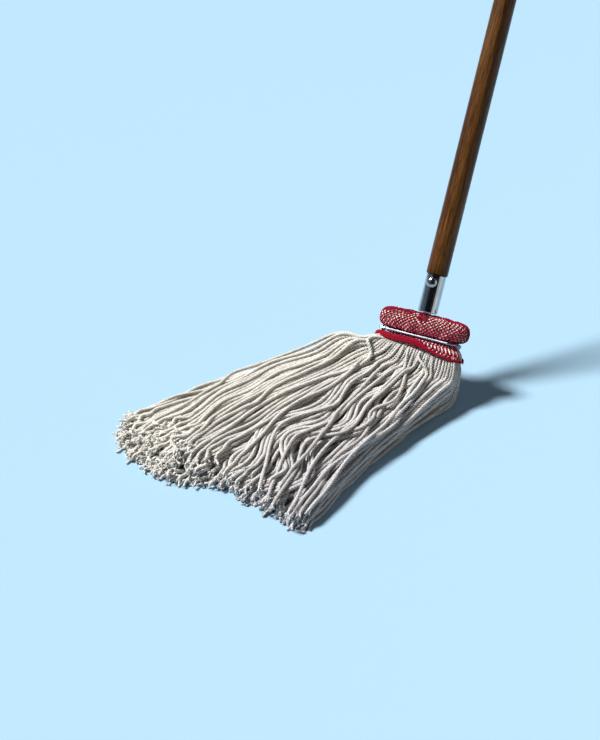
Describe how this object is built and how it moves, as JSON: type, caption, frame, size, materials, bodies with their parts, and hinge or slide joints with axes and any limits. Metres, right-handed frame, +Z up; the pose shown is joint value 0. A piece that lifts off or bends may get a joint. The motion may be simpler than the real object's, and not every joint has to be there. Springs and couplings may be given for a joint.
{
  "type": "string mop",
  "caption": "Wet mop: stained wooden handle in a chrome ferrule, T crossbar, red mesh head band held by a hinged wire clamp, and a swept fan of cotton yarn.",
  "frame": {"origin": "middle of the flat underside of the yarn, where the mop head rests on the floor", "axes": "+X along the crossbar towards the latch end of the wire clamp, +Y to the back, where the handle leans, +Z up"},
  "size_m": [0.3449, 1.098, 1.3014],
  "materials": {
    "stained_wood": "dark reddish brown stain under semi-gloss varnish",
    "chrome": "polished plated tube",
    "zinc_steel": "zinc plated",
    "zinc_wire": "bright zinc plated wire",
    "red_mesh": "coated open-weave mesh, deep red",
    "red_hem": "fuzzy turned hem, deep red",
    "red_thread": "sewing thread",
    "cotton_yarn": "undyed plied cotton, matt and slightly fuzzy"
  },
  "bodies": {
    "mop": {"handle": "stained_wood", "ferrule": "chrome", "ferrule_bolt": "chrome", "bolt_washer": "zinc_steel", "bolt_nut": "zinc_steel", "neck_plug": "zinc_steel", "neck_rivet": "zinc_steel", "stem": "zinc_steel", "crossbar": "zinc_steel", "rear_clamp_wire": "zinc_wire", "headband_mesh": "red_mesh", "front_hem": "red_hem", "rear_hem": "red_hem", "front_hem_stitch": "red_thread", "rear_hem_stitch": "red_thread", "yarn_core": "cotton_yarn", "yarn_front_left": "cotton_yarn", "yarn_front_mid_left": "cotton_yarn", "yarn_front_centre": "cotton_yarn", "yarn_front_mid_right": "cotton_yarn", "yarn_front_right": "cotton_yarn", "yarn_rear_left": "cotton_yarn", "yarn_rear_mid_left": "cotton_yarn", "yarn_rear_centre": "cotton_yarn", "yarn_rear_mid_right": "cotton_yarn", "yarn_rear_right": "cotton_yarn"},
    "clamp_gate": {"front_clamp_wire": "zinc_wire"}
  },
  "joints": [
    {"name": "clamp_wire_hinge", "type": "hinge", "parent": "mop", "child": "clamp_gate", "pos_m": [0.037, 0.19773, 0.07598], "axis": [0, -0.5075, -0.8616], "range_deg": [0, 110]}
  ]
}
